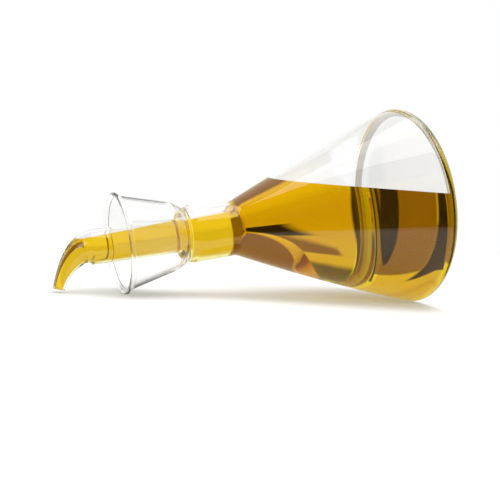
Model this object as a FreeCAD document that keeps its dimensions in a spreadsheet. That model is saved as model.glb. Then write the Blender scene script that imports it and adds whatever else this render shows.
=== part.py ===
"""Drip-free glass oil cruet, lying on its side as it pours.

The cruet is blown and joined from one glass: a cone-shaped flask, a short neck, a
funnel that catches drops, and a spout that rises through the funnel and bends over.
It is modelled standing, about its own upright axis Z, and laid down at the end. It
then rests on two small flats, one on the heel of the flask and one on the rim of
the funnel, with the spout turned down. The oil is a second solid: it fills the
hollow of the glass up to a level surface.

All sizes are millimetres. Row frame: +Z up, the base towards +X and the spout
towards -X, the origin on the floor under the middle of the bounding box.
"""
import FreeCAD, Part
import math
import os
import re

import Sketcher

V = FreeCAD.Vector

SIZES = [
    # alias, value, what it is
    ("base_diameter", 105, "widest part of the flask, at the heel"),
    ("flask_height", 102.3, "base to the joint with the neck"),
    ("heel_radius", 4, "outer rounding between base and wall"),
    ("wall_bow", 1140, "radius of the slight outward bow of the wall"),
    ("base_kick", 1.5, "rise of the pushed-up base at its middle"),
    ("base_foot", 84, "diameter where the pushed-up base meets its flat ring"),
    ("glass_wall", 1.8, "wall of the flask and the neck"),
    ("base_wall", 3.0, "thickness of the base at its flat ring"),
    ("inner_heel", 3, "rounding inside the heel"),
    ("neck_diameter", 27.6, "neck at the flask"),
    ("neck_top_diameter", 29.2, "neck at its upper ring"),
    ("neck_length", 23, "joint with the flask to the upper ring"),
    ("joint_round", 7, "rounding outside the joint of flask and neck"),
    ("joint_fill", 3, "thicker glass inside that joint, along the axis"),
    ("joint_inner_round", 5, "rounding inside the joint"),
    ("ring_round", 1.6, "rounding of the upper ring"),
    ("waist_diameter", 27.2, "groove between the ring and the funnel"),
    ("waist_rise", 3.6, "ring to the middle of the groove"),
    ("waist_round", 1.4, "rounding in the groove"),
    ("bowl_diameter", 34.4, "foot of the funnel where its bowl turns up"),
    ("bowl_rise", 6.0, "groove to the foot of the funnel"),
    ("bowl_round", 6, "rounding at the foot of the funnel"),
    ("rim_diameter", 50.4, "funnel over its rim"),
    ("funnel_height", 27.2, "foot of the funnel to the middle of its rim"),
    ("funnel_wall", 1.8, "wall of the funnel"),
    ("bowl_fill", 0.6, "how much higher its bowl turns up inside"),
    ("rim_bead", 1.35, "radius of the melted bead round the rim"),
    ("web_thickness", 2.4, "glass that closes the neck round the spout"),
    ("floor_flare", 0.4, "how far the web spreads past the groove inside the funnel"),
    ("floor_round", 1.2, "rounding where the web meets funnel and neck"),
    ("spout_diameter", 17.1, "straight part of the spout"),
    ("spout_wall", 1.3, "wall of the straight part"),
    ("spout_reach", 15.7, "straight part beyond the rim of the funnel"),
    ("mouth_diameter", 5.9, "spout at its mouth"),
    ("mouth_wall", 1.0, "wall at the mouth"),
    ("bend_inside", 0.6, "radius inside the tight start of the bend"),
    ("bend_turn", 40, "degrees turned by the tight start of the bend"),
    ("sweep_radius", 34.5, "radius of the long sweep after it"),
    ("mouth_turn", 72, "degrees from the axis of the bottle to the mouth"),
    ("taper_power", 1.6, "how early the spout gets slim, 1 is a plain cone"),
    ("return_hole", 2.4, "diameter of the hole that lets drops run back"),
    ("hole_clearance", 0.4, "glass left between that hole and the spout"),
    ("rest_flat", 0.15, "depth of the flats that the bottle rests on"),
    ("oil_level", 60.2, "height of the oil in the flask over the floor"),
    ("pour_start", 9.0, "oil over the axis where the air in the neck begins"),
    ("pour_fall", 3.1, "degrees by which the pouring surface nears the axis"),
    ("pour_inset", 1.5, "joint with the flask to the end of that air"),
    ("pour_round", 2, "rounding of its end"),
]

# Section counts of the spout's loft: more give a smoother bend.
TIGHT_SECTIONS = 4
SWEEP_SECTIONS = 6

# Overlap that lets a cutting or joined solid pass cleanly through a face.
PASS = 1.0
# Edge of the blocks that stand for the floor and for the air over the oil.
BLOCK = 600.0

WORKED_OUT = [
    # alias, formula, what it is
    ("neck_top", "flask_height + neck_length", "height of the neck's upper ring"),
    ("waist_height", "neck_top + waist_rise", "height of the groove under the funnel"),
    ("bowl_height", "waist_height + bowl_rise", "height of the foot of the funnel"),
    ("rim_height", "bowl_height + funnel_height", "height of the middle of the rim"),
    ("web_top", "waist_height + web_thickness / 2", "floor of the funnel"),
    ("web_under", "waist_height - web_thickness / 2", "ceiling of the neck"),
    ("bend_start", "rim_height + spout_reach", "height where the spout starts to bend"),
    ("bend_radius", "spout_diameter / 2 + bend_inside", "radius of its tight start"),
    ("bend_run", "bend_radius * bend_turn + sweep_radius * (mouth_turn - bend_turn)",
     "length of the whole bend, as radius times degrees"),
    ("heel_centre", "base_diameter / 2 - heel_radius", "axis to the middle of the heel's arc"),
    ("rim_centre", "rim_diameter / 2 - rim_bead", "axis to the middle of the rim's bead"),
    ("kick_radius", "(base_foot ^ 2 / 4 + base_kick ^ 2) / (2 * base_kick)",
     "radius of the pushed-up base"),
    ("rest_span", "rim_height - heel_radius", "heel's arc to rim's bead, along the axis"),
    ("rest_step", "heel_centre - rim_centre", "heel's arc to rim's bead, across it"),
    ("rest_reach", "sqrt(rest_span ^ 2 + rest_step ^ 2)", "distance between their middles"),
    # The line that touches both arcs leans by the step between them and their radii.
    ("tilt", "atan(rest_step / rest_span) + asin((heel_radius - rim_bead) / rest_reach)",
     "lean of the axis when heel and rim touch the floor"),
    ("lift", "heel_centre * cos(tilt) + heel_radius * sin(tilt) + heel_radius - rest_flat",
     "height over the floor of the middle of the base"),
    ("heel_end", "heel_centre * sin(tilt) - heel_radius * cos(tilt) + heel_radius",
     "how far the heel reaches past the middle of the base"),
    ("mouth_offset", "-bend_radius * (1 - cos(bend_turn)) "
     "- sweep_radius * (cos(bend_turn) - cos(mouth_turn))", "axis to the middle of the mouth"),
    ("mouth_height", "bend_start + bend_radius * sin(bend_turn) "
     "+ sweep_radius * (sin(mouth_turn) - sin(bend_turn))", "height of that middle"),
    ("lip_end", "-(mouth_height + mouth_diameter / 2 * sin(mouth_turn)) * cos(tilt) "
     "- (mouth_offset + mouth_diameter / 2 * cos(mouth_turn)) * sin(tilt)",
     "how far the outer lip reaches the other way"),
]

SIZE_NAMES = {alias: f"sizes.{alias}" for alias, _, _ in SIZES}
ALL_NAMES = SIZE_NAMES | {alias: f"worked.{alias}" for alias, _, _ in WORKED_OUT}

doc = FreeCAD.newDocument("cruet")
sheet = doc.addObject("Spreadsheet::Sheet", "sizes")
worked = doc.addObject("Spreadsheet::Sheet", "worked")


def addressed(expression, names):
    """Return the expression with each size's name turned into its cell's address."""
    return re.sub(r"[a-z_]+", lambda word: names.get(word[0], word[0]), expression)


def bound(expression):
    """Return an expression in the sizes' names as an object can be bound to it."""
    return addressed(expression, ALL_NAMES)


def value_of(expression):
    """Work an expression out now, as a plain number."""
    result = sheet.evalExpression(bound(expression))
    return float(getattr(result, "Value", result))


def point_of(corner):
    """Work a corner's radius and height out now."""
    return value_of(corner[0]), value_of(corner[1])


def fill_sheets():
    """Write the driving sizes into one sheet and what follows from them into another."""
    for table, rows in ((sheet, SIZES), (worked, WORKED_OUT)):
        for row, (alias, content, meaning) in enumerate(rows, start=1):
            formula = isinstance(content, str)
            text = "=" + addressed(content, SIZE_NAMES) if formula else str(content)
            table.set(f"A{row}", alias)
            table.set(f"B{row}", text)
            table.set(f"C{row}", meaning)
            table.setAlias(f"B{row}", alias)
        doc.recompute()


class HalfSection:
    """A closed half-section in a body's XZ plane, drawn edge by edge to be revolved.

    Corners are pairs of expressions, a radius and a height, and stay bound to them.
    """

    def __init__(self, body, name, start):
        self.sketch = body.newObject("Sketcher::SketchObject", name)
        planes = {origin.Role: origin for origin in body.Origin.OriginFeatures}
        self.sketch.AttachmentSupport = (planes["XZ_Plane"], "")
        self.sketch.MapMode = "FlatFace"
        self.start = start
        self.here = point_of(start)
        self.ends = []

    def lines_to(self, *corners):
        """Draw straight edges from corner to corner."""
        for corner in corners:
            there = point_of(corner)
            self.add(Part.LineSegment(V(*self.here), V(*there)))
            self.fix(self.ends[-1][1], corner)
            self.here = there

    def arc_to(self, corner, radius, inwards=False):
        """Draw an arc of a bound radius that bows outwards or inwards."""
        there = point_of(corner)
        self.fix_radius(self.add_arc(there, value_of(radius), inwards), radius)
        self.fix(self.ends[-1][1], corner)

    def base_and_wall_to(self, corner, heel, heel_radius, bow):
        """Draw the flat of the base, the heel's arc and the bowed wall up to a corner.

        heel is the middle of the heel's arc, which is tangent to the flat and the wall.
        """
        middle, end = point_of(heel), point_of(corner)
        small, large = value_of(heel_radius), value_of(bow)
        chord = (middle[0] + small - end[0], end[1] - middle[1])
        lean = math.atan2(*chord) - math.asin(math.hypot(*chord) / (2 * large))
        below = (middle[0], middle[1] - small)
        touch = (middle[0] + small * math.cos(lean), middle[1] + small * math.sin(lean))
        self.add(Part.LineSegment(V(*self.here), V(*below)))
        self.here = below
        round_off = self.add_arc(touch, small, tangent=True)
        wall = self.add_arc(end, large, tangent=True)
        self.fix((round_off, 3), heel)
        self.fix_radius(round_off, heel_radius)
        self.fix_radius(wall, bow)
        self.fix(self.ends[-1][1], corner)

    def close(self):
        """Draw the last edge, back to the start, and bind the start."""
        self.add(Part.LineSegment(V(*self.here), V(*point_of(self.start))))
        self.rule("Coincident", *self.ends[-1][1], *self.ends[0][0])
        self.fix(self.ends[0][0], self.start)

    def add_arc(self, there, radius, inwards=False, tangent=False):
        """Add an arc from here to a point; return its number."""
        start, end = V(*self.here), V(*there)
        along = end - start
        left = V(-along.y, along.x) / along.Length
        rise = math.sqrt(max(radius ** 2 - (along.Length / 2) ** 2, 0))
        middle = (start + end) / 2 + left * (-rise if inwards else rise)
        angles = [math.atan2(point.y - middle.y, point.x - middle.x) for point in (start, end)]
        if inwards:
            angles.reverse()
        circle = Part.Circle(middle, V(0, 0, 1), radius)
        self.here = there
        return self.add(Part.ArcOfCircle(circle, *angles), inwards, tangent)

    def add(self, geometry, backwards=False, tangent=False):
        """Add an edge that carries on from the last one; return its number."""
        number = self.sketch.addGeometry(geometry, False)
        start, end = ((number, 2), (number, 1)) if backwards else ((number, 1), (number, 2))
        if self.ends:
            self.rule("Tangent" if tangent else "Coincident", *self.ends[-1][1], *start)
        self.ends.append((start, end))
        return number

    def fix(self, vertex, corner):
        """Bind a vertex to a corner's two expressions; a plain 0 puts it on an axis."""
        for kind, expression, axis in (("DistanceX", corner[0], -2), ("DistanceY", corner[1], -1)):
            if expression == "0":
                self.rule("PointOnObject", *vertex, axis)
            else:
                self.rule(kind, -1, 1, *vertex, value_of(expression), expression=expression)

    def fix_radius(self, number, expression):
        """Bind an arc's radius to an expression."""
        self.rule("Radius", number, value_of(expression), expression=expression)

    def rule(self, kind, *arguments, expression=None):
        """Add a constraint and bind its value, if it has one, to an expression."""
        number = self.sketch.addConstraint(Sketcher.Constraint(kind, *arguments))
        if expression is not None:
            self.sketch.setExpression(f"Constraints[{number}]", bound(expression))


def spin(body, section, feature, name):
    """Revolve a half-section about the upright axis, as a solid or as a groove."""
    spun = body.newObject(feature, name)
    spun.Profile = section.sketch
    spun.ReferenceAxis = (section.sketch, ["V_Axis"])
    spun.Angle = 360
    doc.recompute()


def round_ring(body, name, corner, rounding):
    """Round the circular edge that a corner of the half-section has swept."""
    base = body.Tip
    wanted = point_of(corner)

    def miss(edge):
        if edge.Degenerated or not isinstance(edge.Curve, Part.Circle):
            return math.inf
        return math.dist(wanted, (edge.Curve.Radius, edge.Curve.Center.z))

    edges = base.Shape.Edges
    nearest = min(range(len(edges)), key=lambda index: miss(edges[index]))
    fillet = body.newObject("PartDesign::Fillet", name)
    fillet.Base = (base, [f"Edge{nearest + 1}"])
    fillet.setExpression("Radius", bound(rounding))
    doc.recompute()


def make_skin():
    """The outside of flask, neck and funnel as one turned solid, the funnel hollowed."""
    body = doc.addObject("PartDesign::Body", "skin")
    joint = ("neck_diameter / 2", "flask_height")
    ring = ("neck_top_diameter / 2", "neck_top")
    waist = ("waist_diameter / 2", "waist_height")
    bowl = ("bowl_diameter / 2", "bowl_height")
    outline = HalfSection(body, "skin_outline", ("0", "base_kick"))
    outline.arc_to(("base_foot / 2", "0"), "kick_radius", inwards=True)
    outline.base_and_wall_to(joint, ("heel_centre", "heel_radius"), "heel_radius", "wall_bow")
    outline.lines_to(ring, waist, bowl, ("rim_centre", "rim_height"), ("0", "rim_height"))
    outline.close()
    spin(body, outline, "PartDesign::Revolution", "skin_solid")
    round_ring(body, "joint_rounding", joint, "joint_round")
    round_ring(body, "ring_rounding", ring, "ring_round")
    round_ring(body, "waist_rounding", waist, "waist_round")
    round_ring(body, "bowl_rounding", bowl, "bowl_round")

    floor = ("waist_diameter / 2 - funnel_wall + floor_flare", "web_top")
    turn = ("bowl_diameter / 2 - funnel_wall", "bowl_height + bowl_fill")
    catch = HalfSection(body, "funnel_hollow", ("0", "web_top"))
    catch.lines_to(floor, turn, ("rim_centre - funnel_wall / 2", "rim_height"), ("0", "rim_height"))
    catch.close()
    spin(body, catch, "PartDesign::Groove", "funnel_groove")
    round_ring(body, "floor_rounding", floor, "floor_round")
    round_ring(body, "turn_rounding", turn, "bowl_round - funnel_wall")
    return body


def make_hollow():
    """The room inside flask and neck, as the turned solid that the glass is cut by."""
    body = doc.addObject("PartDesign::Body", "hollow")
    heel = ("base_diameter / 2 - glass_wall - inner_heel", "base_wall + inner_heel")
    joint = ("neck_diameter / 2 - glass_wall", "flask_height - joint_fill")
    ceiling = ("waist_diameter / 2 - glass_wall", "web_under")
    outline = HalfSection(body, "hollow_outline", ("0", "base_wall + base_kick"))
    outline.arc_to(("base_foot / 2", "base_wall"), "kick_radius", inwards=True)
    outline.base_and_wall_to(joint, heel, "inner_heel", "wall_bow - glass_wall")
    outline.lines_to(ceiling, ("0", "web_under"))
    outline.close()
    spin(body, outline, "PartDesign::Revolution", "hollow_solid")
    round_ring(body, "inner_joint_rounding", joint, "joint_inner_round")
    round_ring(body, "ceiling_rounding", ceiling, "floor_round")
    return body


def make_rim_bead():
    """The melted bead round the rim of the funnel."""
    bead = doc.addObject("Part::Torus", "rim_bead_ring")
    bead.setExpression("Radius1", bound("rim_centre"))
    bead.setExpression("Radius2", bound("rim_bead"))
    bead.setExpression("Placement.Base.z", bound("rim_height"))
    return bead


def make_rod(name, radius, start, length, offset="0"):
    """An upright round rod; offset moves it from the axis towards +X."""
    rod = doc.addObject("Part::Cylinder", name)
    rod.setExpression("Radius", bound(radius))
    rod.setExpression("Height", bound(length))
    rod.setExpression("Placement.Base.x", bound(offset))
    rod.setExpression("Placement.Base.z", bound(start))
    return rod


def bend_stations():
    """Yield the turn, offset, height and share of length of each section of the bend.

    The bend is a tight arc and then a long sweep that runs on from it. All four are
    expressions, so that the sections follow the sizes.
    """
    for step in range(TIGHT_SECTIONS):
        turn = f"(bend_turn * {step} / {TIGHT_SECTIONS})"
        offset = f"-bend_radius * (1 - cos({turn}))"
        height = f"bend_start + bend_radius * sin({turn})"
        yield turn, offset, height, f"bend_radius * {turn} / bend_run"
    for step in range(SWEEP_SECTIONS + 1):
        rest = f"(mouth_turn - bend_turn) * {SWEEP_SECTIONS - step} / {SWEEP_SECTIONS}"
        turn = f"(mouth_turn - {rest})"
        offset = f"mouth_offset + sweep_radius * (cos({turn}) - cos(mouth_turn))"
        height = f"mouth_height - sweep_radius * (sin(mouth_turn) - sin({turn}))"
        yield turn, offset, height, f"(1 - sweep_radius * {rest} / bend_run)"


def make_bend(name, wide, narrow):
    """The tapered bend of the spout, lofted from radius wide down to radius narrow."""
    rings = []
    for number, (turn, offset, height, share) in enumerate(bend_stations()):
        ring = doc.addObject("Part::Circle", f"{name}_ring_{number}")
        left = f"max(1 - {share}; 0)"
        taper = f"({wide} - ({narrow})) * {left} ^ taper_power"
        ring.setExpression("Radius", bound(f"{narrow} + {taper}"))
        ring.setExpression("Placement", bound(
            f"placement(vector({offset}; 0; {height}); rotation(vector(0; 1; 0); -{turn}))"))
        rings.append(ring)
    loft = doc.addObject("Part::Loft", name)
    loft.Sections = rings
    loft.Solid = True
    return loft


def fuse(name, *shapes):
    """Join shapes into one."""
    joined = doc.addObject("Part::MultiFuse", name)
    joined.Shapes = list(shapes)
    return joined


def cut(name, base, tool):
    """Take one shape out of another."""
    left = doc.addObject("Part::Cut", name)
    left.Base = base
    left.Tool = tool
    return left


def make_block(name, bottom):
    """A wide block whose underside lies at the height of an expression."""
    block = doc.addObject("Part::Box", name)
    block.Length = block.Width = block.Height = BLOCK
    block.Placement.Base = V(-BLOCK / 2, -BLOCK / 2, 0)
    block.setExpression("Placement.Base.z", bound(bottom))
    return block


def make_pour_air():
    """The air over the running oil: a block with one rounded edge, just under its plane."""
    body = doc.addObject("PartDesign::Body", "pour_air")
    block = body.newObject("PartDesign::AdditiveBox", "pour_block")
    block.Length = block.Width = block.Height = BLOCK
    doc.recompute()
    edges = block.Shape.Edges
    middle = V(0, BLOCK / 2, 0)
    nearest = min(range(len(edges)), key=lambda index: edges[index].CenterOfMass.distanceToPoint(middle))
    fillet = body.newObject("PartDesign::Fillet", "pour_rounding")
    fillet.Base = (block, [f"Edge{nearest + 1}"])
    fillet.setExpression("Radius", bound("pour_round"))
    body.setExpression("Placement", bound(
        f"placement(vector(pour_start; -{BLOCK / 2}; flask_height + pour_inset); "
        "rotation(vector(0; 1; 0); -pour_fall))"))
    return body


def lay_down(upright):
    """Turn a standing shape onto the floor, spout towards -X, centred over the origin."""
    upright.setExpression("Placement", bound(
        "placement(vector(-(heel_end + lip_end) / 2; 0; lift); "
        "rotation(vector(0; 1; 0); -90 deg - tilt))"))
    return upright


def build():
    """Build every sub-part; return the two that are kept, named for their nodes."""
    outer, mouth = "spout_diameter / 2", "mouth_diameter / 2"
    inner, mouth_bore = f"{outer} - spout_wall", f"{mouth} - mouth_wall"
    spout = fuse(
        "spout",
        make_rod("spout_tube", outer, "web_under", "bend_start - web_under"),
        make_bend("spout_bend", outer, mouth),
    )
    bore = fuse(
        "bore",
        make_rod("bore_tube", inner, f"web_under - {PASS}", f"bend_start - web_under + {PASS}"),
        make_bend("bore_bend", inner, mouth_bore),
    )
    return_hole = make_rod(
        "return_hole_rod", "return_hole / 2", f"web_under - {PASS}",
        f"web_thickness + 2 * {PASS}", f"{outer} + hole_clearance + return_hole / 2")
    inside = fuse("inside", make_hollow(), bore)
    skin = fuse("whole_skin", make_skin(), make_rim_bead(), spout)
    vessel = lay_down(cut("vessel", skin, fuse("all_openings", inside, return_hole)))
    filling = lay_down(cut("filling", inside, make_pour_air()))
    glass = cut("glass", vessel, make_block("floor_block", f"-{BLOCK}"))
    oil = cut("oil", filling, make_block("air_block", "oil_level"))
    doc.recompute()
    return [glass, oil]


def check(nodes):
    """Stop unless every object built cleanly and each node is one valid solid."""
    failed = [thing.Name for thing in doc.Objects if {"Invalid", "Error"} & set(thing.State)]
    if failed:
        raise RuntimeError(f"these objects failed: {failed}")
    for node in nodes:
        shape = node.Shape
        if shape.isNull() or not shape.isValid() or len(shape.Solids) != 1:
            raise RuntimeError(f"{node.Label} isn't one valid solid")


def export(nodes):
    """Write each node's solid to its own STEP file and say how large it is."""
    os.makedirs("parts", exist_ok=True)
    for node in nodes:
        node.Shape.exportStep(os.path.join("parts", f"{node.Label}.step"))
        print(f"{node.Label}: {node.Shape.Volume / 1000:.2f} ml")


fill_sheets()
made = build()
check(made)
export(made)
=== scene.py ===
"""Drip-free glass oil cruet: the looks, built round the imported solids.

The cruet lies on its side as it pours. Its glass and its oil are turned and drawn
standing, in millimetres, and are then laid on the floor in the frame's own place.
Where oil wets the glass, the two bend light alike, so that wall gets a finish of its
own that bends nothing; only the outside, the dry walls and the oil's own surfaces do.
"""

import logging
import math
from dataclasses import dataclass, field
from enum import Enum, IntEnum

import bmesh
import bpy
from mathutils import Matrix, Vector


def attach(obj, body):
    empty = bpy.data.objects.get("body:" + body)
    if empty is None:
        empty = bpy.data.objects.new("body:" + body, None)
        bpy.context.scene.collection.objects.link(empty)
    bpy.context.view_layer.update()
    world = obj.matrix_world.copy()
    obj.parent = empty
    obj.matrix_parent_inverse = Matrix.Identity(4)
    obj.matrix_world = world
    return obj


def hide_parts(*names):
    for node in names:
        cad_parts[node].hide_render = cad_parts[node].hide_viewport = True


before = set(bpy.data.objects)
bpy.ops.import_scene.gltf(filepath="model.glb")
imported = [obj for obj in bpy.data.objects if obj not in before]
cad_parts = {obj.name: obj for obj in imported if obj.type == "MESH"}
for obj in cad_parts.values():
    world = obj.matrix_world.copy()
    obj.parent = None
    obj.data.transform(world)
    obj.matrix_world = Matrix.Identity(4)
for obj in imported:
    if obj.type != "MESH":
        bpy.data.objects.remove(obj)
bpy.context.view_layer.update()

LOG = logging.getLogger("cruet")

MM = 0.001
FULL_TURN = 2 * math.pi
UP = Vector((0, 0, 1))
# Sides of everything turned on the lathe.
RING_SIDES = 176
# A crease sharper than this stays sharp.
CREASE = math.radians(38)
# Points nearer than this become one, in millimetres.
MERGE = 1e-5
# How many edges a rounding gets, by its size.
WIDE_ROUND, MIDDLE_ROUND, SMALL_ROUND = 8, 6, 5
# The way the camera looks, clockwise from +Y as seen from above.
VIEW_BEARING = math.radians(22.8)
# Light is mirrored many times between oil and wall before it comes out.
BOUNCES = {"max_bounces": 32, "transmission_bounces": 32, "glossy_bounces": 16}

Colour = tuple[float, float, float, float]


def grey(level: float) -> Colour:
    """Return a grey."""
    return (level, level, level, 1.0)


WHITE = grey(1.0)


class GlassSide(IntEnum):
    """Material slots of the glass."""

    DRY = 0
    WETTED = 1
    # The outer heel, whose glass is tinted dark brown as painted shade.
    HEEL = 2


class Route(Enum):
    """Ways by which a ray comes to see a dark screen."""

    MIRRORED = "mirrored at least once on its way"
    SHEEN = "mirrored straight off the outside"
    THROUGH_OIL = "straight through the oil and both its walls"


class LampColour(Enum):
    """Colours of the studio's light."""

    PLAIN = (1.0, 1.0, 1.0)
    COOL = (0.95, 0.975, 1.0)


# ---------------------------------------------------------------- shader nodes


class Value:
    """A number's socket that can be reckoned with: every operator adds its Math node."""

    def __init__(self, graph: "Graph", socket: bpy.types.NodeSocket) -> None:
        """Wrap a socket.

        Args:
            graph: The node tree it belongs to.
            socket: The output socket that gives the number.
        """
        self.graph = graph
        self.socket = socket

    def _math(self, operation: str, *operands: "Value | float") -> "Value":
        """Add a Math node over the operands."""
        return self.graph.math(operation, *operands)

    def __add__(self, other: "Value | float") -> "Value":
        """Add."""
        return self._math("ADD", self, other)

    def __mul__(self, other: "Value | float") -> "Value":
        """Multiply."""
        return self._math("MULTIPLY", self, other)

    def __sub__(self, other: "Value | float") -> "Value":
        """Subtract."""
        return self._math("SUBTRACT", self, other)

    def __rsub__(self, other: float) -> "Value":
        """Subtract from a number."""
        return self._math("SUBTRACT", other, self)

    def __truediv__(self, other: "Value | float") -> "Value":
        """Divide."""
        return self._math("DIVIDE", self, other)

    __radd__ = __add__
    __rmul__ = __mul__

    def at_most(self, other: "Value | float") -> "Value":
        """Return the lesser of the two."""
        return self._math("MINIMUM", self, other)

    def at_least(self, other: "Value | float") -> "Value":
        """Return the greater of the two."""
        return self._math("MAXIMUM", self, other)


class Placed:
    """A node just added, with short ways to its outputs."""

    def __init__(self, graph: "Graph", node: bpy.types.Node) -> None:
        """Wrap a node of a graph."""
        self.graph = graph
        self.node = node

    def out(self, name: str | int = 0) -> bpy.types.NodeSocket:
        """Return an output socket."""
        return self.node.outputs[name]

    def value(self, name: str | int = 0) -> Value:
        """Return an output socket as a Value."""
        return Value(self.graph, self.node.outputs[name])


class Graph:
    """A node tree that is emptied first and then filled node by node."""

    def __init__(self, owner: bpy.types.Material | bpy.types.World) -> None:
        """Empty the owner's node tree."""
        owner.use_nodes = True
        self.tree = owner.node_tree
        self.tree.nodes.clear()

    def node(self, kind: str, settings: dict | None = None, inputs: dict | None = None) -> Placed:
        """Add a node.

        Args:
            kind: The node's Blender type.
            settings: Attributes, set first.
            inputs: Values or links by the sockets' names or numbers.

        Returns:
            The node with its outputs at hand.
        """
        node = self.tree.nodes.new(kind)
        for name, setting in (settings or {}).items():
            setattr(node, name, setting)
        for name, given in (inputs or {}).items():
            socket = node.inputs[name]
            if isinstance(given, Value):
                given = given.socket
            if isinstance(given, bpy.types.NodeSocket):
                self.tree.links.new(given, socket)
            else:
                socket.default_value = given
        return Placed(self, node)

    def math(self, operation: str, *operands: Value | float) -> Value:
        """Add a Math node of an operation over the operands."""
        inputs = {number: operand for number, operand in enumerate(operands)}
        return self.node("ShaderNodeMath", {"operation": operation}, inputs).value()

    def mix(self, share: Value, one: bpy.types.NodeSocket | Colour,
            other: bpy.types.NodeSocket | Colour) -> bpy.types.NodeSocket:
        """Add a mix of two colours and return its output."""
        return self.node(
            "ShaderNodeMix", {"data_type": "RGBA"}, {0: share, 6: one, 7: other}).out(2)

    def noise(self, scale: float, detail: float, stretch: tuple[float, float, float]) -> Value:
        """Add a noise over the object's own coordinates.

        Args:
            scale: Waves per metre.
            detail: Octaves.
            stretch: Scale along each axis.

        Returns:
            The noise, from 0 to 1.
        """
        place = self.node("ShaderNodeTexCoord").out("Object")
        mapped = self.node("ShaderNodeMapping", {}, {"Vector": place, "Scale": stretch}).out()
        return self.node(
            "ShaderNodeTexNoise", {}, {"Vector": mapped, "Scale": scale, "Detail": detail}
        ).value(0)


# ---------------------------------------------------------------- finishes


@dataclass(frozen=True)
class ClearGlass:
    """Lamp-blown borosilicate glass with a faint waviness and the odd smear."""

    name: str = "clear_glass"
    ior: float = 1.47
    tint: Colour = (0.985, 0.99, 0.985, 1.0)
    wave_scale: float = 34.0
    wave_detail: float = 1.0
    wave_stretch: tuple[float, float, float] = (0.5, 1.0, 1.0)
    wave_height: float = 0.00035
    wave_strength: float = 0.05
    smear_scale: float = 60.0
    smear_detail: float = 4.0
    smear_stretch: tuple[float, float, float] = (1.0, 2.5, 1.0)
    smear_start: float = 0.58
    smear_roughness: float = 0.035
    most_roughness: float = 0.02

    def material(self) -> bpy.types.Material:
        """Return the material."""
        made = bpy.data.materials.new(self.name)
        graph = Graph(made)
        waves = graph.noise(self.wave_scale, self.wave_detail, self.wave_stretch)
        bump = graph.node(
            "ShaderNodeBump", {},
            {"Height": waves, "Strength": self.wave_strength, "Distance": self.wave_height},
        ).out()
        smears = graph.noise(self.smear_scale, self.smear_detail, self.smear_stretch)
        smeared = (smears - self.smear_start).at_least(0.0)
        roughness = (smeared * self.smear_roughness).at_most(self.most_roughness)
        shader = graph.node("ShaderNodeBsdfPrincipled", {}, {
            "Base Color": self.tint, "Roughness": roughness, "IOR": self.ior,
            "Transmission Weight": 1.0, "Normal": bump,
        }).out()
        graph.node("ShaderNodeOutputMaterial", {}, {"Surface": shader})
        return made


@dataclass(frozen=True)
class WettedWall:
    """The wall under oil: no step in the light's speed, so it isn't seen."""

    name: str = "wetted_glass"
    ior: float = 1.0

    def material(self) -> bpy.types.Material:
        """Return the material."""
        made = bpy.data.materials.new(self.name)
        graph = Graph(made)
        shader = graph.node("ShaderNodeBsdfPrincipled", {}, {
            "Base Color": WHITE, "Roughness": 0.0, "IOR": self.ior,
            "Transmission Weight": 1.0,
        }).out()
        graph.node("ShaderNodeOutputMaterial", {}, {"Surface": shader})
        return made


@dataclass(frozen=True)
class OliveOil:
    """Golden olive oil: a stain where light enters and leaves, and a deepening in it.

    One material serves the open surface and the face against the wall, so that light
    may enter by either and leave by the other. Against the wall there is no step in the
    light's speed, and only light that passes steeply is stained: what the wall mirrors
    back meets that face at a slant, so the oil keeps one yellow however often a ray is
    mirrored in it.
    """

    name: str = "olive_oil"
    ior: float = 1.47
    ior_at_wall: float = 1.0
    tint: Colour = (0.78, 0.523, 0.03, 1.0)
    slant: float = 0.68
    slant_fade: float = 0.06
    colour: Colour = (0.98, 0.944, 0.0, 1.0)
    density: float = 55.0
    open_mark: str = "open_face"

    def material(self) -> bpy.types.Material:
        """Return the material."""
        made = bpy.data.materials.new(self.name)
        graph = Graph(made)
        place = graph.node("ShaderNodeNewGeometry")
        facing = graph.node(
            "ShaderNodeVectorMath", {"operation": "DOT_PRODUCT"},
            {0: place.out("Incoming"), 1: place.out("Normal")},
        ).value("Value")
        steep = (graph.math("ABSOLUTE", facing) - self.slant) / self.slant_fade
        stain = graph.mix(steep.at_least(0.0).at_most(1.0), WHITE, self.tint)
        open_face = graph.node("ShaderNodeAttribute", {"attribute_name": self.open_mark})
        surface = graph.node("ShaderNodeMixShader", {}, {
            0: open_face.value("Fac"),
            1: self._skin(graph, stain, self.ior_at_wall),
            2: self._skin(graph, self.tint, self.ior),
        }).out()
        depth = graph.node(
            "ShaderNodeVolumeAbsorption", {}, {"Color": self.colour, "Density": self.density}
        ).out()
        graph.node("ShaderNodeOutputMaterial", {}, {"Surface": surface, "Volume": depth})
        return made

    def _skin(self, graph: Graph, colour: bpy.types.NodeSocket | Colour,
              ior: float) -> bpy.types.NodeSocket:
        """Add the shader of a face that light passes.

        Args:
            graph: The material's nodes.
            colour: The stain it gives.
            ior: The step in the light's speed.

        Returns:
            The shader's output.
        """
        return graph.node("ShaderNodeBsdfPrincipled", {}, {
            "Base Color": colour, "Roughness": 0.0, "IOR": ior, "Transmission Weight": 1.0,
        }).out()


# ---------------------------------------------------------------- drawing


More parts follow.
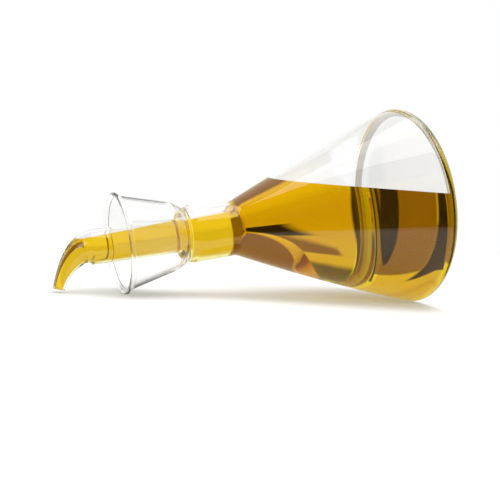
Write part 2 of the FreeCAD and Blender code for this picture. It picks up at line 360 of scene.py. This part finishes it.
class Outline:
    """A half-section in the XZ plane, drawn as wire from its start to its tip."""

    def __init__(self, start: tuple[float, float]) -> None:
        """Start the wire at a radius and a height."""
        self.mesh = bmesh.new()
        self.tip = self.mesh.verts.new((start[0], 0, start[1]))

    def line_to(self, radius: float, height: float, pieces: int = 1) -> bmesh.types.BMVert:
        """Draw a straight run.

        Args:
            radius: Where it ends, from the axis.
            height: Where it ends, from the base.
            pieces: Number of equal edges.

        Returns:
            The vertex at its end.
        """
        start = self.tip.co.copy()
        end = Vector((radius, 0, height))
        for step in range(pieces):
            drawn = bmesh.ops.extrude_vert_indiv(self.mesh, verts=[self.tip])
            self.tip = drawn["verts"][0]
            self.tip.co = start.lerp(end, (step + 1) / pieces)
        return self.tip

    def arc_about(self, radius: float, height: float, turn: float, steps: int) -> None:
        """Draw an arc.

        Args:
            radius: Its centre, from the axis.
            height: Its centre, from the base.
            turn: Radians it turns by, from up towards outwards.
            steps: Number of edges.
        """
        drawn = bmesh.ops.spin(
            self.mesh, geom=[self.tip], cent=(radius, 0, height), axis=(0, 1, 0),
            angle=turn, steps=steps, use_merge=False, use_duplicate=False,
        )
        self.tip = next(
            part for part in drawn["geom_last"] if isinstance(part, bmesh.types.BMVert))

    def round_off(self, corner: bmesh.types.BMVert, radius: float, segments: int) -> None:
        """Round a corner between two runs.

        Args:
            corner: The vertex at the corner.
            radius: Radius of the rounding.
            segments: Number of edges.
        """
        one, other = (edge.other_vert(corner).co - corner.co for edge in corner.link_edges)
        reach = radius / math.tan(one.angle(other) / 2)
        bmesh.ops.bevel(
            self.mesh, geom=[corner], offset=reach, offset_type="OFFSET", segments=segments,
            profile=0.5, affect="VERTICES", material=-1,
        )

    def turned(self) -> bmesh.types.BMesh:
        """Return the wire turned once round the axis, its poles closed."""
        mesh = self.mesh
        bmesh.ops.spin(
            mesh, geom=mesh.verts[:] + mesh.edges[:], cent=(0, 0, 0), axis=UP,
            angle=FULL_TURN, steps=RING_SIDES, use_merge=True, use_duplicate=False,
        )
        bmesh.ops.remove_doubles(mesh, verts=mesh.verts, dist=MERGE)
        return mesh


def open_edges(mesh: bmesh.types.BMesh) -> list[bmesh.types.BMEdge]:
    """Return the edges that only one face uses."""
    return [edge for edge in mesh.edges if edge.is_boundary]


def arc_height(half_width: float, rise: float) -> float:
    """Return the radius of an arc of a half width and a rise."""
    return (half_width ** 2 + rise ** 2) / (2 * rise)


def joined(parts: list[bmesh.types.BMesh]) -> bmesh.types.BMesh:
    """Return one mesh that holds all the parts, which are freed."""
    whole = bmesh.new()
    for part in parts:
        carrier = bpy.data.meshes.new("carrier")
        part.to_mesh(carrier)
        part.free()
        whole.from_mesh(carrier)
        bpy.data.meshes.remove(carrier)
    return whole


def as_object(name: str, mesh: bmesh.types.BMesh,
              *materials: bpy.types.Material) -> bpy.types.Object:
    """Make an object of a mesh, which is freed.

    Args:
        name: The object's name.
        mesh: Its mesh.
        materials: Its material slots in order.

    Returns:
        The object, linked to the scene.
    """
    data = bpy.data.meshes.new(name)
    mesh.to_mesh(data)
    mesh.free()
    for material in materials:
        data.materials.append(material)
    data.shade_smooth()
    data.set_sharp_from_angle(angle=CREASE)
    made = bpy.data.objects.new(name, data)
    bpy.context.scene.collection.objects.link(made)
    return made


def carved(mesh: bmesh.types.BMesh, cutter: bmesh.types.BMesh) -> bmesh.types.BMesh:
    """Cut one closed mesh out of another; both are freed.

    Args:
        mesh: What is cut.
        cutter: What is taken away.

    Returns:
        What is left.
    """
    body, tool = as_object("carved_body", mesh), as_object("carving_tool", cutter)
    boolean = body.modifiers.new("carve", "BOOLEAN")
    boolean.object = tool
    boolean.operation = "DIFFERENCE"
    boolean.solver = "EXACT"
    evaluated = body.evaluated_get(bpy.context.evaluated_depsgraph_get())
    data = bpy.data.meshes.new_from_object(evaluated)
    left = bmesh.new()
    left.from_mesh(data)
    for thing in (body, tool):
        spent = thing.data
        bpy.data.objects.remove(thing)
        bpy.data.meshes.remove(spent)
    bpy.data.meshes.remove(data)
    return left


# ---------------------------------------------------------------- the cruet


@dataclass
class Flask:
    """The cone-shaped body, in millimetres."""

    base_diameter: float = 105.0
    height: float = 102.3
    heel_radius: float = 4.0
    wall_bow: float = 1140.0
    base_kick: float = 1.5
    base_foot: float = 84.0
    wall: float = 1.8
    base_wall: float = 3.0
    inner_heel: float = 3.0
    wall_steps: int = 30
    heel_steps: int = 12
    kick_steps: int = 8

    @property
    def heel_centre(self) -> float:
        """Distance from the axis to the middle of the heel's arc."""
        return self.base_diameter / 2 - self.heel_radius

    def draw_kick(self, height: float) -> Outline:
        """Start an outline with the pushed-up base, its flat ring at a height."""
        outline = Outline((0.0, height + self.base_kick))
        bow = arc_height(self.base_foot / 2, self.base_kick)
        turn = math.asin(self.base_foot / 2 / bow)
        outline.arc_about(0.0, height + self.base_kick - bow, turn, self.kick_steps)
        return outline

    def draw_wall(self, outline: Outline, heel: Vector, rounding: float, bow: float,
                  top: Vector) -> bmesh.types.BMVert:
        """Draw the flat of the base, the heel and the bowed wall.

        Args:
            outline: The outline to go on with.
            heel: Middle of the heel's arc.
            rounding: Radius of the heel's arc.
            bow: Radius of the wall's arc.
            top: Where the wall ends.

        Returns:
            The vertex at its top.
        """
        outline.line_to(heel.x, heel.y - rounding)
        reach, span = bow - rounding, (top - heel).length
        lean = math.atan2(top.y - heel.y, top.x - heel.x) - math.acos(
            (bow ** 2 - reach ** 2 - span ** 2) / (2 * reach * span))
        outline.arc_about(heel.x, heel.y, -(math.pi / 2 + lean), self.heel_steps)
        centre = heel - Vector((math.cos(lean), math.sin(lean))) * reach
        end = math.atan2(top.y - centre.y, top.x - centre.x)
        outline.arc_about(centre.x, centre.y, -(end - lean), self.wall_steps)
        return outline.tip

    def draw_outside(self, top: Vector) -> tuple[Outline, bmesh.types.BMVert]:
        """Draw the outside from the middle of the base to the neck."""
        outline = self.draw_kick(0.0)
        heel = Vector((self.heel_centre, self.heel_radius))
        return outline, self.draw_wall(outline, heel, self.heel_radius, self.wall_bow, top)

    def draw_inside(self, top: Vector) -> tuple[Outline, bmesh.types.BMVert]:
        """Draw the inside from the middle of the base to the neck."""
        outline = self.draw_kick(self.base_wall)
        heel = Vector((self.base_diameter / 2 - self.wall - self.inner_heel,
                       self.base_wall + self.inner_heel))
        bow = self.wall_bow - self.wall
        return outline, self.draw_wall(outline, heel, self.inner_heel, bow, top)


@dataclass
class Neck:
    """The neck with its ring and the groove under the funnel, in millimetres."""

    diameter: float = 27.6
    top_diameter: float = 29.2
    length: float = 23.0
    joint_round: float = 7.0
    joint_fill: float = 3.0
    joint_inner_round: float = 5.0
    ring_round: float = 1.6
    waist_diameter: float = 27.2
    waist_rise: float = 3.6
    waist_round: float = 1.4
    wall: float = 1.8
    web: float = 2.4
    web_round: float = 1.2
    rings: int = 6


@dataclass
class Funnel:
    """The funnel that catches drops, in millimetres."""

    bowl_diameter: float = 34.4
    bowl_rise: float = 6.0
    bowl_round: float = 6.0
    bowl_fill: float = 0.6
    rim_diameter: float = 50.4
    height: float = 27.2
    wall: float = 1.8
    rim_bead: float = 1.35
    floor_flare: float = 0.4
    bead_steps: int = 14
    return_hole: float = 2.4
    hole_clearance: float = 0.4
    hole_sides: int = 28


@dataclass
class Spout:
    """The spout: a straight tube and a tapered bend, in millimetres."""

    diameter: float = 17.1
    wall: float = 1.3
    reach: float = 14.5
    mouth_diameter: float = 5.9
    mouth_wall: float = 1.0
    bend_inside: float = 3.0
    bend_turn: float = math.radians(40)
    sweep_radius: float = 33.3
    mouth_turn: float = math.radians(72)
    taper_power: float = 1.6
    tight_steps: int = 12
    sweep_steps: int = 16
    tube_rings: int = 6
    bore_rings: int = 8
    lip_round: float = 0.3
    lip_steps: int = 3

    def stations(self, start: float, wide: float, narrow: float) -> list[Matrix]:
        """Work out where each ring of the bend lies.

        Args:
            start: Height at which the bend starts.
            wide: Radius at its start.
            narrow: Radius at its mouth.

        Returns:
            A matrix for each ring that places a unit ring, the first at the start.
        """
        tight = self.diameter / 2 + self.bend_inside
        sweep_turn = self.mouth_turn - self.bend_turn
        run = tight * self.bend_turn + self.sweep_radius * sweep_turn
        turns = [self.bend_turn * step / self.tight_steps for step in range(self.tight_steps)]
        turns += [self.bend_turn + sweep_turn * step / self.sweep_steps
                  for step in range(self.sweep_steps + 1)]
        placed = []
        for turn in turns:
            first, second = min(turn, self.bend_turn), max(turn - self.bend_turn, 0.0)
            offset = tight * (math.cos(first) - 1) + self.sweep_radius * (
                math.cos(first + second) - math.cos(first))
            height = tight * math.sin(first) + self.sweep_radius * (
                math.sin(first + second) - math.sin(first))
            left = 1 - (tight * first + self.sweep_radius * second) / run
            radius = narrow + (wide - narrow) * max(left, 0.0) ** self.taper_power
            placed.append(Matrix.Translation((offset, 0, start + height))
                          @ Matrix.Rotation(-turn, 4, "Y") @ Matrix.Scale(radius, 4))
        return placed

    def draw_on(self, mesh: bmesh.types.BMesh, stations: list[Matrix]) -> None:
        """Draw the open ring of a turned mesh out along the bend."""
        ring = open_edges(mesh)
        for before, after in zip(stations, stations[1:]):
            drawn = bmesh.ops.extrude_edge_only(mesh, edges=ring)["geom"]
            ring = [part for part in drawn if isinstance(part, bmesh.types.BMEdge)]
            ring = [edge for edge in ring if edge.is_boundary]
            verts = [part for part in drawn if isinstance(part, bmesh.types.BMVert)]
            bmesh.ops.transform(mesh, matrix=after @ before.inverted(), verts=verts)


@dataclass
class AirOverPour:
    """The air over the running oil in neck and spout, in millimetres, standing."""

    start: float = 9.0
    fall: float = math.radians(3.1)
    inset: float = 1.5
    rounding: float = 2.0
    steps: int = 5
    reach: float = 120.0

    def matrix(self, joint_height: float) -> Matrix:
        """Return the place of its rounded corner over the joint of flask and neck."""
        return (Matrix.Translation((self.start, 0, joint_height + self.inset))
                @ Matrix.Rotation(-self.fall, 4, "Y"))

    def corner_points(self) -> list[Vector]:
        """Return the points of its rounded corner, from the level side to the end."""
        middle = Vector((self.rounding, 0, self.rounding))
        return [
            middle + self.rounding * Vector((-math.cos(turn), 0, -math.sin(turn)))
            for turn in (math.pi / 2 * step / self.steps for step in range(self.steps + 1))
        ]

    def planes(self, place: Matrix) -> list[tuple[Vector, Vector]]:
        """Return a point and the inward normal of each plane that bounds it."""
        points = self.corner_points()
        sides = [(points[0], Vector((1, 0, 0))), (points[-1], Vector((0, 0, 1)))]
        for one, other in zip(points, points[1:]):
            along = (other - one).normalized()
            sides.append((one, Vector((-along.z, 0, along.x))))
        turn = place.to_3x3()
        return [(place @ point, (turn @ normal).normalized()) for point, normal in sides]

    def block(self, place: Matrix) -> bmesh.types.BMesh:
        """Return a long block with the rounded corner, as a cutter."""
        mesh = bmesh.new()
        bmesh.ops.create_cube(mesh, size=self.reach)
        bmesh.ops.translate(mesh, vec=Vector((1, 0, 1)) * self.reach / 2, verts=mesh.verts)
        edge = next(
            edge for edge in mesh.edges
            if all(abs(vert.co.x) + abs(vert.co.z) < self.rounding for vert in edge.verts))
        bmesh.ops.bevel(
            mesh, geom=[edge], offset=self.rounding, offset_type="OFFSET", segments=self.steps,
            profile=0.5, affect="EDGES", material=-1,
        )
        mesh.transform(place)
        return mesh


@dataclass
class Cruet:
    """The whole vessel: what its parts' outlines have in common, and its rest."""

    flask: Flask = field(default_factory=Flask)
    neck: Neck = field(default_factory=Neck)
    funnel: Funnel = field(default_factory=Funnel)
    spout: Spout = field(default_factory=Spout)
    pour: AirOverPour = field(default_factory=AirOverPour)
    rest_flat: float = 0.15
    oil_level: float = 60.2

    @property
    def ring_height(self) -> float:
        """Height of the neck's upper ring."""
        return self.flask.height + self.neck.length

    @property
    def waist_height(self) -> float:
        """Height of the groove under the funnel."""
        return self.ring_height + self.neck.waist_rise

    @property
    def bowl_height(self) -> float:
        """Height of the foot of the funnel."""
        return self.waist_height + self.funnel.bowl_rise

    @property
    def rim_height(self) -> float:
        """Height of the middle of the funnel's rim."""
        return self.bowl_height + self.funnel.height

    @property
    def rim_centre(self) -> float:
        """Distance from the axis to the middle of the rim's bead."""
        return self.funnel.rim_diameter / 2 - self.funnel.rim_bead

    @property
    def web_top(self) -> float:
        """Height of the floor of the funnel."""
        return self.waist_height + self.neck.web / 2

    @property
    def web_under(self) -> float:
        """Height of the ceiling of the neck."""
        return self.waist_height - self.neck.web / 2

    @property
    def bend_start(self) -> float:
        """Height at which the spout starts to bend."""
        return self.rim_height + self.spout.reach

    def skin(self) -> bmesh.types.BMesh:
        """Return the outside of the glass, open at the spout's mouth."""
        neck, funnel, spout = self.neck, self.funnel, self.spout
        outline, joint = self.flask.draw_outside(Vector((neck.diameter / 2, self.flask.height)))
        ring = outline.line_to(neck.top_diameter / 2, self.ring_height)
        waist = outline.line_to(neck.waist_diameter / 2, self.waist_height)
        bowl = outline.line_to(funnel.bowl_diameter / 2, self.bowl_height)
        bead = Vector((self.rim_centre, self.rim_height))
        foot = Vector((funnel.bowl_diameter / 2, self.bowl_height))
        touch = bead - (bead - foot).normalized() * funnel.rim_bead
        outline.line_to(touch.x, touch.y)
        turn = Vector(
            (funnel.bowl_diameter / 2 - funnel.wall, self.bowl_height + funnel.bowl_fill))
        top = Vector((self.rim_centre - funnel.wall / 2, self.rim_height))
        down = (turn - top).normalized()
        offset = top - bead
        back = -offset.dot(down) + math.sqrt(
            offset.dot(down) ** 2 + funnel.rim_bead ** 2 - offset.length_squared)
        leave = top + down * back
        start, end = touch - bead, leave - bead
        sweep = math.atan2(start.y, start.x) - math.atan2(end.y, end.x)
        outline.arc_about(bead.x, bead.y, -((-sweep) % FULL_TURN), funnel.bead_steps)
        inner_turn = outline.line_to(turn.x, turn.y)
        floor = outline.line_to(
            neck.waist_diameter / 2 - funnel.wall + funnel.floor_flare, self.web_top)
        outline.line_to(spout.diameter / 2, self.web_top)
        outline.line_to(spout.diameter / 2, self.bend_start, spout.tube_rings)
        outline.round_off(joint, neck.joint_round, WIDE_ROUND)
        outline.round_off(ring, neck.ring_round, MIDDLE_ROUND)
        outline.round_off(waist, neck.waist_round, MIDDLE_ROUND)
        outline.round_off(bowl, funnel.bowl_round, WIDE_ROUND)
        outline.round_off(inner_turn, funnel.bowl_round - funnel.wall, WIDE_ROUND)
        outline.round_off(floor, neck.web_round, SMALL_ROUND)
        mesh = outline.turned()
        spout.draw_on(mesh, spout.stations(
            self.bend_start, spout.diameter / 2, spout.mouth_diameter / 2))
        return mesh

    def hollow(self) -> bmesh.types.BMesh:
        """Return the inside of flask, neck and spout, open at the mouth."""
        neck, spout = self.neck, self.spout
        outline, joint = self.flask.draw_inside(Vector(
            (neck.diameter / 2 - self.flask.wall, self.flask.height - neck.joint_fill)))
        ceiling = outline.line_to(
            neck.waist_diameter / 2 - neck.wall, self.web_under, neck.rings)
        bore = spout.diameter / 2 - spout.wall
        outline.line_to(bore, self.web_under)
        outline.line_to(bore, self.bend_start, spout.bore_rings)
        outline.round_off(joint, neck.joint_inner_round, WIDE_ROUND)
        outline.round_off(ceiling, neck.web_round, SMALL_ROUND)
        mesh = outline.turned()
        spout.draw_on(mesh, spout.stations(
            self.bend_start, bore, spout.mouth_diameter / 2 - spout.mouth_wall))
        return mesh

    def laid_down(self) -> Matrix:
        """Return how the standing cruet is laid on heel and rim, with the spout down."""
        heel, bead = self.flask.heel_radius, self.funnel.rim_bead
        span = self.rim_height - heel
        step = self.flask.heel_centre - self.rim_centre
        lean = math.atan2(step, span) + math.asin((heel - bead) / math.hypot(span, step))
        lift = (self.flask.heel_centre * math.cos(lean) + heel * math.sin(lean)
                + heel - self.rest_flat)
        heel_end = self.flask.heel_centre * math.sin(lean) - heel * math.cos(lean) + heel
        mouth = self.spout.stations(self.bend_start, 1.0, self.spout.mouth_diameter / 2)[-1]
        lip = mouth @ Vector((1.0, 0.0, 0.0))
        lip_end = -lip.z * math.cos(lean) - lip.x * math.sin(lean)
        turn = Matrix.Rotation(-math.pi / 2 - lean, 4, "Y")
        return Matrix.Translation((-(heel_end + lip_end) / 2, 0, lift)) @ turn


@dataclass
class GlassBody:
    """The glass: one closed shell from the base to the mouth of the spout."""

    cruet: Cruet
    name: str = "blown_glass"
    # The heel's dark brown tint is painted shade: the dark edge the heel shows, not a colour of
    # the glass.
    heel_shade_tint: Colour = (0.26, 0.24, 0.18, 1.0)

    def build(self) -> bpy.types.Object:
        """Return the finished glass."""
        cruet = self.cruet
        outside, inside = cruet.skin(), cruet.hollow()
        for face in inside.faces:
            face.material_index = GlassSide.WETTED
        # The outer heel rounding takes the dark tinted glass, painted shade.
        for face in outside.faces:
            middle = face.calc_center_median()
            if (middle.z < cruet.flask.heel_radius
                    and math.hypot(middle.x, middle.y) > cruet.flask.heel_centre):
                face.material_index = GlassSide.HEEL
        mesh = joined([outside, inside])
        lip = bmesh.ops.bridge_loops(mesh, edges=open_edges(mesh))["faces"]
        for face in lip:
            face.material_index = GlassSide.DRY
        rims = [edge for face in lip for edge in face.edges
                if any(other not in lip for other in edge.link_faces)]
        bmesh.ops.bevel(
            mesh, geom=rims, offset=cruet.spout.lip_round, offset_type="OFFSET",
            segments=cruet.spout.lip_steps, profile=0.5, affect="EDGES", material=-1,
        )
        bmesh.ops.recalc_face_normals(mesh, faces=mesh.faces)
        mesh = carved(mesh, self.return_hole())
        mesh.transform(cruet.laid_down())
        self.part_dry_from_wetted(mesh)
        mesh.transform(Matrix.Scale(MM, 4))
        # The third slot is the heel's glass, darkened as painted shade.
        return as_object(
            self.name, mesh, ClearGlass().material(), WettedWall().material(),
            ClearGlass("painted_dark_heel_glass", tint=self.heel_shade_tint).material())

    def return_hole(self) -> bmesh.types.BMesh:
        """Return the rod that bores the hole through which drops run back."""
        funnel, cruet = self.cruet.funnel, self.cruet
        rod = bmesh.new()
        bmesh.ops.create_cone(
            rod, cap_ends=True, segments=funnel.hole_sides, radius1=funnel.return_hole / 2,
            radius2=funnel.return_hole / 2, depth=2 * cruet.neck.web,
        )
        place = cruet.spout.diameter / 2 + funnel.hole_clearance + funnel.return_hole / 2
        bmesh.ops.translate(rod, vec=(place, 0, cruet.waist_height), verts=rod.verts)
        return rod

    def part_dry_from_wetted(self, mesh: bmesh.types.BMesh) -> None:
        """Cut the inner wall along the oil's edge and call what is over it dry."""
        cruet = self.cruet
        place = cruet.laid_down() @ cruet.pour.matrix(cruet.flask.height)
        pour = cruet.pour.planes(place)
        level = [(Vector((0, 0, cruet.oil_level)), UP)]
        for point, normal in pour + level:
            inner = [face for face in mesh.faces if face.material_index == GlassSide.WETTED]
            parts = set(inner)
            for face in inner:
                parts.update(face.verts, face.edges)
            bmesh.ops.bisect_plane(mesh, geom=list(parts), plane_co=point, plane_no=normal)
        for face in mesh.faces:
            if face.material_index == GlassSide.WETTED:
                middle = face.calc_center_median()
                dry = any(
                    all((middle - point).dot(normal) > 0 for point, normal in space)
                    for space in (pour, level)
                )
                face.material_index = GlassSide.DRY if dry else GlassSide.WETTED


@dataclass
class Filling:
    """The oil: the hollow of the glass up to its surfaces, reaching into the wall."""

    cruet: Cruet
    name: str = "olive_oil_filling"
    into_wall: float = 0.1
    off_plane: float = 0.02
    same_way: float = 0.999

    def build(self) -> bpy.types.Object:
        """Return the finished oil."""
        cruet = self.cruet
        mesh = cruet.hollow()
        bmesh.ops.recalc_face_normals(mesh, faces=mesh.faces)
        mesh.normal_update()
        outward = 1 if mesh.faces[0].normal.z < 0 else -1
        for vert in mesh.verts:
            vert.co += vert.normal * self.into_wall * outward
        bmesh.ops.holes_fill(mesh, edges=open_edges(mesh), sides=0)
        bmesh.ops.recalc_face_normals(mesh, faces=mesh.faces)
        mesh = carved(mesh, cruet.pour.block(cruet.pour.matrix(cruet.flask.height)))
        mesh.transform(cruet.laid_down())
        cut = bmesh.ops.bisect_plane(
            mesh, geom=mesh.verts[:] + mesh.edges[:] + mesh.faces[:],
            plane_co=(0, 0, cruet.oil_level), plane_no=UP, clear_outer=True,
        )["geom_cut"]
        rings = [part for part in cut if isinstance(part, bmesh.types.BMEdge)]
        bmesh.ops.holes_fill(mesh, edges=rings, sides=0)
        oil = OliveOil()
        self.mark_open_faces(mesh, oil.open_mark)
        bmesh.ops.recalc_face_normals(mesh, faces=mesh.faces)
        mesh.transform(Matrix.Scale(MM, 4))
        return as_object(self.name, mesh, oil.material())

    def mark_open_faces(self, mesh: bmesh.types.BMesh, name: str) -> None:
        """Mark the faces that meet air.

        Args:
            mesh: The oil, lying as it is poured.
            name: The mark's name, 1 on those faces and 0 on the others.
        """
        cruet = self.cruet
        mark = mesh.faces.layers.float.new(name)
        place = cruet.laid_down() @ cruet.pour.matrix(cruet.flask.height)
        mouth = cruet.laid_down() @ cruet.spout.stations(cruet.bend_start, 1.0, 1.0)[-1]
        planes = cruet.pour.planes(place) + [
            (Vector((0, 0, cruet.oil_level)), UP),
            (mouth.translation, (mouth.to_3x3() @ UP).normalized()),
        ]
        for face in mesh.faces:
            middle, normal = face.calc_center_median(), face.normal
            face[mark] = float(any(
                abs((middle - point).dot(way)) < self.off_plane
                and abs(normal.dot(way)) > self.same_way
                for point, way in planes
            ))


# ---------------------------------------------------------------- the studio


@dataclass(frozen=True)
class Screen:
    """A dark screen in the room, as a window of bearings and rises, in degrees.

    Bearings are clockwise from the camera's own, as seen from above.
    """

    bearings: tuple[float, float]
    rises: tuple[float, float]
    colour: Colour
    soft: float = 1.0
    route: Route = Route.MIRRORED

    def mask(self, graph: Graph, bearing: Value, rise: Value) -> Value:
        """Return 1 on the screen and 0 beside it."""
        return self._within(graph, bearing, self.bearings) * self._within(graph, rise, self.rises)

    def _within(self, graph: Graph, angle: Value, window: tuple[float, float]) -> Value:
        """Return 1 between two angles and 0 outside them."""
        low, high = (math.radians(side) for side in window)
        across = graph.math("WRAP", angle - (low + high) / 2, math.pi, -math.pi)
        inside = ((high - low) / 2 - graph.math("ABSOLUTE", across)) / math.radians(self.soft)
        return inside.at_least(0.0).at_most(1.0)


DARK_BROWN = (0.36, 0.25, 0.15, 1.0)
SCREENS = (
    # Right of the camera: the dark streaks and brown fields in the left of the oil.
    Screen((107.0, 120.0), (-40.0, 60.0), grey(0.08)),
    Screen((60.0, 104.0), (-70.0, -22.5), DARK_BROWN, 2.0),
    Screen((88.0, 102.0), (14.0, 27.0), grey(0.04), 0.7),
    Screen((88.0, 101.0), (26.0, 41.0), DARK_BROWN),
    Screen((85.0, 106.0), (45.5, 75.0), grey(0.2), 2.5),
    # Behind the camera and low on its left: painted shadow, a dark brown screen over the floor
    # there that stands for the object's own shadow, which the oil mirrors onto the underside of
    # the flask.
    Screen((190.0, 286.0), (-80.0, -10.0), DARK_BROWN, 3.0),
    # Left of the camera: the brown field in the right of the oil and its dark edges.
    Screen((-62.5, -38.0), (-45.0, 18.5), DARK_BROWN),
    Screen((-49.0, -41.5), (-45.0, 27.0), grey(0.03), 0.7),
    Screen((-74.0, -61.5), (-45.0, 25.0), grey(0.03)),
    # The dim side of the room behind the camera, which keeps the sheen off the oil.
    Screen((110.0, 260.0), (-28.0, 86.0), grey(0.04), 6.0, Route.SHEEN),
    # Seen through the oil, far to the right: the edges of the neck and the spout.
    Screen((13.0, 50.0), (-14.0, 35.0), DARK_BROWN, 2.0, Route.THROUGH_OIL),
)
# A ray that crosses the oil and both walls meets this many surfaces.
SURFACES_THROUGH = 6.0


@dataclass(frozen=True)
class Softbox:
    """A square lamp, in metres and watts."""

    name: str
    place: tuple[float, float, float]
    size: float
    power: float
    colour: LampColour
    target: tuple[float, float, float] = (0.0, 0.0, 0.03)

    def hang(self) -> None:
        """Hang it, pointed at its target and hidden from the camera."""
        light = bpy.data.lights.new(self.name, "AREA")
        light.size = self.size
        light.energy = self.power
        light.color = self.colour.value
        lamp = bpy.data.objects.new(self.name, light)
        place = Vector(self.place)
        lamp.location = place
        lamp.rotation_mode = "QUATERNION"
        lamp.rotation_quaternion = (Vector(self.target) - place).to_track_quat("-Z", "Y")
        lamp.visible_camera = False
        lamp.visible_transmission = False
        bpy.context.scene.collection.objects.link(lamp)


SOFTBOXES = (
    Softbox("top_softbox", (0.1, -0.1, 0.9), 0.8, 5.0, LampColour.PLAIN),
    Softbox("side_softbox", (-0.8, -0.7, 0.5), 0.4, 2.0, LampColour.COOL),
)


@dataclass
class Studio:
    """A pale floor, soft light and a white room."""

    floor_size: float = 12.0
    floor_colour: Colour = grey(0.86)
    floor_gap: float = 0.00016
    floor_lift: float = 0.16
    fade_start: float = 0.22
    fade_length: float = 0.5
    room_light: float = 0.75
    bearing: float = VIEW_BEARING

    def build(self) -> None:
        """Build floor, room and lamps."""
        self.build_floor()
        self.build_room()
        for softbox in SOFTBOXES:
            softbox.hang()

    def build_floor(self) -> None:
        """Build the floor, which keeps the object's shadow on a white ground."""
        mesh = bmesh.new()
        bmesh.ops.create_grid(mesh, x_segments=1, y_segments=1, size=self.floor_size)
        made = bpy.data.materials.new("pale_floor")
        graph = Graph(made)
        ground = graph.node("ShaderNodeBsdfDiffuse", {}, {"Color": self.floor_colour}).out()
        seen = self.seen(graph)
        lift = graph.node(
            "ShaderNodeEmission", {}, {"Color": WHITE, "Strength": seen * self.floor_lift}).out()
        near = graph.node("ShaderNodeAddShader", {}, {0: ground, 1: lift}).out()
        facing = graph.node("ShaderNodeNewGeometry").out("Incoming")
        way = graph.node(
            "ShaderNodeVectorMath", {"operation": "SCALE"}, {0: facing, 3: -1.0}).out()
        colour, screened = self.room_colour(graph, way, 0.0)
        room = graph.node("ShaderNodeEmission", {}, {"Color": colour, "Strength": 1.0}).out()
        place = graph.node("ShaderNodeTexCoord").out("Object")
        away = graph.node("ShaderNodeVectorMath", {"operation": "LENGTH"}, {0: place}).value(1)
        fade = ((away - self.fade_start) / self.fade_length).at_least(0.0).at_most(1.0)
        share = fade.at_least(screened) * seen
        floor = graph.node("ShaderNodeMixShader", {}, {0: share, 1: near, 2: room}).out()
        graph.node("ShaderNodeOutputMaterial", {}, {"Surface": floor})
        bmesh.ops.translate(mesh, vec=-UP * self.floor_gap, verts=mesh.verts)
        as_object("floor", mesh, made)

    def build_room(self) -> None:
        """Build the white room round the object, with its dark screens."""
        world = bpy.data.worlds.new("white_room")
        bpy.context.scene.world = world
        graph = Graph(world)
        way = graph.node("ShaderNodeTexCoord").out("Generated")
        colour, _ = self.room_colour(graph, way, 1.0)
        strength = self.seen(graph) * (1.0 - self.room_light) + self.room_light
        shine = graph.node(
            "ShaderNodeBackground", {}, {"Color": colour, "Strength": strength}).out()
        graph.node("ShaderNodeOutputWorld", {}, {"Surface": shine})

    def room_colour(self, graph: Graph, way: bpy.types.NodeSocket,
                    extra: float) -> tuple[bpy.types.NodeSocket, Value]:
        """Work out what a ray meets in the room.

        Args:
            graph: The node tree.
            way: The ray's direction.
            extra: What the ray's depth counts too many: 1 in a world, 0 on a surface.

        Returns:
            The colour, white where the ray meets no screen, and 1 where it meets one.
        """
        parts = graph.node("ShaderNodeSeparateXYZ", {}, {0: way})
        bearing = graph.math("ARCTAN2", parts.value("X"), parts.value("Y")) - self.bearing
        rise = graph.math("ARCSINE", parts.value("Z"))
        path = graph.node("ShaderNodeLightPath")
        depth = path.value("Ray Depth") - extra
        mirrored = path.value("Glossy Depth").at_most(1.0)
        routes = {
            Route.MIRRORED: mirrored,
            Route.SHEEN: (2.0 - depth).at_least(0.0) * mirrored,
            Route.THROUGH_OIL: (
                (depth - (SURFACES_THROUGH - 1.0)).at_least(0.0).at_most(1.0) * (1.0 - mirrored)),
        }
        colour, screened = WHITE, mirrored * 0.0
        for screen in SCREENS:
            mask = screen.mask(graph, bearing, rise) * routes[screen.route]
            colour = graph.mix(mask, colour, screen.colour)
            screened = screened.at_least(mask)
        return colour, screened

    def seen(self, graph: Graph) -> Value:
        """Return 1 for rays that see or mirror the room and 0 for those that it lights."""
        path = graph.node("ShaderNodeLightPath")
        return path.value("Is Camera Ray").at_least(path.value("Is Glossy Ray")).at_least(
            path.value("Is Transmission Ray"))


@dataclass
class Viewpoint:
    """The camera: a long lens at the height of the oil, off the spout's side."""

    lens: float = 74.1
    yaw: float = VIEW_BEARING
    pitch: float = math.radians(-3.9)
    roll: float = math.radians(4.0)
    height: float = 0.0602
    target: tuple[float, float] = (-0.0093, 0.0)
    distance: float = 0.525
    sideways: float = 0.0095
    nearest: float = 0.01
    farthest: float = 100.0

    def build(self) -> None:
        """Place the camera."""
        ahead = Vector((math.sin(self.yaw), math.cos(self.yaw), 0))
        right = Vector((math.cos(self.yaw), -math.sin(self.yaw), 0))
        place = Vector((*self.target, self.height)) - ahead * self.distance + right * self.sideways
        camera = bpy.data.cameras.new("viewpoint")
        camera.lens = self.lens
        camera.clip_start = self.nearest
        camera.clip_end = self.farthest
        stand = bpy.data.objects.new("viewpoint", camera)
        look = ahead * math.cos(self.pitch) + UP * math.sin(self.pitch)
        stand.rotation_mode = "QUATERNION"
        stand.rotation_quaternion = (
            look.to_track_quat("-Z", "Y")
            @ Matrix.Rotation(self.roll, 3, "Z").to_quaternion())
        stand.location = place
        bpy.context.scene.collection.objects.link(stand)
        bpy.context.scene.camera = stand


def main() -> None:
    """Build the cruet, its oil, the studio and the camera."""
    logging.basicConfig(level=logging.INFO, format="%(name)s: %(message)s")
    cruet = Cruet()
    for part, node, slot in (
        (GlassBody(cruet), "glass", "clear_glass"),
        (Filling(cruet), "oil", "olive_oil"),
    ):
        piece = part.build()
        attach(piece, "root")
        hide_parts(node)
        LOG.info("%s: %d faces", piece.name, len(piece.data.polygons))
    Studio().build()
    Viewpoint().build()
    scene = bpy.context.scene
    scene.view_settings.view_transform = "Standard"
    for limit, count in BOUNCES.items():
        setattr(scene.cycles, limit, count)


if __name__ == "__main__":
    main()
